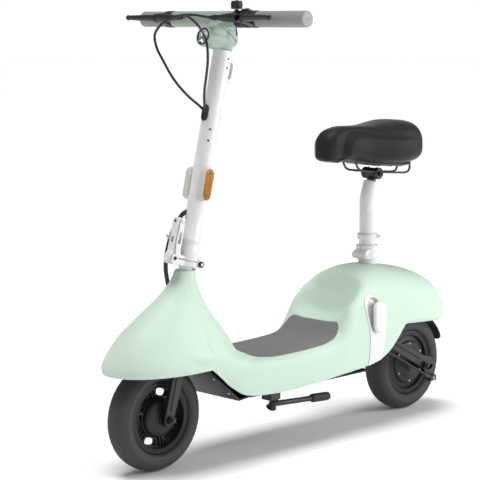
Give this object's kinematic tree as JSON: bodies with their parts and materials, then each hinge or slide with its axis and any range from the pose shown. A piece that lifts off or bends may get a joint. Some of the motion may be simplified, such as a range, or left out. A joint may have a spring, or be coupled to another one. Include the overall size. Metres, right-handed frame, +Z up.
{
  "type": "seated electric scooter",
  "caption": "Seated electric scooter: moulded body with swept front shroud and rear hump over a steel frame, folding raked stem, saddle on a bent post, hub motor wheel and side stand.",
  "frame": {"origin": "middle of the overall length and width, on the ground under the tyres", "axes": "+X forward along the vehicle, +Y to the rider's left, +Z up"},
  "size_m": [1.1756, 0.556, 1.105],
  "materials": {
    "mint_plastic": "satin moulded body",
    "white_paint": "semi-gloss powder coat",
    "black_plastic": "fine texture",
    "black_metal": "satin black coat",
    "tyre_rubber": "matt",
    "grey_rubber": "matt",
    "dark_alloy": "dark cast",
    "steel": "bright",
    "amber_plastic": "prismatic reflector",
    "clear_plastic": "clear lens",
    "saddle_skin": "matt synthetic",
    "battery_wrap": "matt"
  },
  "bodies": {
    "frame": {"main_frame": "black_metal", "lower_bearing": "steel", "upper_bearing": "steel", "front_shroud": "mint_plastic", "deck_shell": "mint_plastic", "rear_shell": "mint_plastic", "deck_mat": "grey_rubber", "belly_pan": "black_plastic", "front_inner_guard": "black_plastic", "rear_fender": "black_plastic", "battery_pack": "battery_wrap", "controller_box": "dark_alloy", "left_rear_arm": "black_metal", "right_rear_arm": "black_metal", "rear_axle": "steel", "left_side_band": "white_paint", "right_side_band": "white_paint", "seat_clamp": "white_paint", "kickstand_bracket": "black_metal", "rear_brake_cable": "black_plastic"},
    "steering": {"fork": "black_metal", "front_axle": "steel", "hinge_base": "white_paint", "hinge_pin": "black_metal"},
    "stem": {"stem_tube": "white_paint", "stem_foot": "white_paint", "bar_head": "mint_plastic", "handlebar": "black_metal", "left_grip": "grey_rubber", "headlight": "clear_plastic", "display": "black_plastic", "left_reflector": "amber_plastic", "right_reflector": "amber_plastic", "cable_grommet": "black_plastic", "bag_hook": "white_paint", "left_lever_perch": "black_metal", "right_lever_perch": "black_metal", "switch_pod": "black_plastic", "bell_base": "black_plastic", "left_brake_cable": "black_plastic", "right_brake_cable": "black_plastic", "main_harness": "black_plastic"},
    "throttle": {"throttle_grip": "grey_rubber"},
    "lever_left": {"left_brake_lever": "black_metal"},
    "lever_right": {"right_brake_lever": "black_metal"},
    "bell": {"bell_ring": "black_metal"},
    "button": {"mode_button": "grey_rubber"},
    "latch": {"fold_latch": "black_metal"},
    "front_wheel": {"front_tyre": "tyre_rubber", "front_rim": "dark_alloy"},
    "rear_wheel": {"rear_tyre": "tyre_rubber", "rear_motor_rim": "dark_alloy"},
    "post": {"seat_post": "white_paint", "saddle_clamp": "black_metal"},
    "saddle": {"saddle_rails": "black_metal", "saddle_base": "black_plastic", "saddle_pad": "saddle_skin"},
    "stand": {"kickstand_leg": "black_metal"},
    "side_lever_left": {"left_latch_lever": "white_paint"},
    "side_lever_right": {"right_latch_lever": "white_paint"}
  },
  "joints": [
    {"name": "steering_turn", "type": "hinge", "parent": "frame", "child": "steering", "pos_m": [0.46325, 0, 0], "axis": [-0.2334, 0, 0.9724], "range_deg": [-50, 50], "deforming": ["main_harness"]},
    {"name": "stem_fold", "type": "hinge", "parent": "steering", "child": "stem", "pos_m": [0.32027, 0, 0.47988], "axis": [0, -1, 0], "range_deg": [0, 40], "deforming": ["main_harness"]},
    {"name": "fold_latch_swing", "type": "hinge", "parent": "stem", "child": "latch", "pos_m": [0.36904, 0, 0.58518], "axis": [0, -1, 0], "range_deg": [0, 25]},
    {"name": "front_wheel_spin", "type": "hinge", "parent": "steering", "child": "front_wheel", "pos_m": [0.45375, 0, 0.1295], "axis": [0, 1, 0], "continuous": true},
    {"name": "rear_wheel_spin", "type": "hinge", "parent": "frame", "child": "rear_wheel", "pos_m": [-0.45825, 0, 0.1295], "axis": [0, 1, 0], "continuous": true},
    {"name": "left_brake", "type": "hinge", "parent": "stem", "child": "lever_left", "pos_m": [0.27211, 0.112, 1.06172], "axis": [-0.2334, 0, 0.9724], "range_deg": [0, 16], "stiffness_Nm_per_rad": 0.6, "springref_deg": -8.59},
    {"name": "right_brake", "type": "hinge", "parent": "stem", "child": "lever_right", "pos_m": [0.27211, -0.182, 1.06172], "axis": [0.2334, 0, -0.9724], "range_deg": [0, 16], "stiffness_Nm_per_rad": 0.6, "springref_deg": -8.59},
    {"name": "throttle_twist", "type": "hinge", "parent": "stem", "child": "throttle", "pos_m": [0.22686, -0.235, 1.05959], "axis": [0, -1, 0], "range_deg": [0, 60], "stiffness_Nm_per_rad": 0.15, "springref_deg": -11.46},
    {"name": "bell_turn", "type": "hinge", "parent": "stem", "child": "bell", "pos_m": [0.236, 0.058, 1.09], "axis": [0, 0, 1], "range_deg": [-25, 25], "stiffness_Nm_per_rad": 0.02},
    {"name": "mode_press", "type": "slide", "parent": "stem", "child": "button", "axis": [0.2334, 0, -0.9724], "range_m": [0, 0.0015], "stiffness_N_per_m": 400, "springref_m": -0.001},
    {"name": "seat_height", "type": "slide", "parent": "frame", "child": "post", "axis": [0, 0, -1], "range_m": [-0.1, 0.013]},
    {"name": "saddle_tilt", "type": "hinge", "parent": "post", "child": "saddle", "pos_m": [-0.326, 0, 0.656], "axis": [0, 1, 0], "range_deg": [-10, 10]},
    {"name": "kickstand_swing", "type": "hinge", "parent": "frame", "child": "stand", "pos_m": [0.138, 0.084, 0.121], "axis": [0, -0.454, -0.891], "range_deg": [0, 100]},
    {"name": "left_side_latch", "type": "hinge", "parent": "frame", "child": "side_lever_left", "pos_m": [-0.218, 0.1203, 0.34], "axis": [1, 0, 0], "range_deg": [0, 60]},
    {"name": "right_side_latch", "type": "hinge", "parent": "frame", "child": "side_lever_right", "pos_m": [-0.218, -0.1203, 0.34], "axis": [-1, 0, 0], "range_deg": [0, 60]}
  ]
}
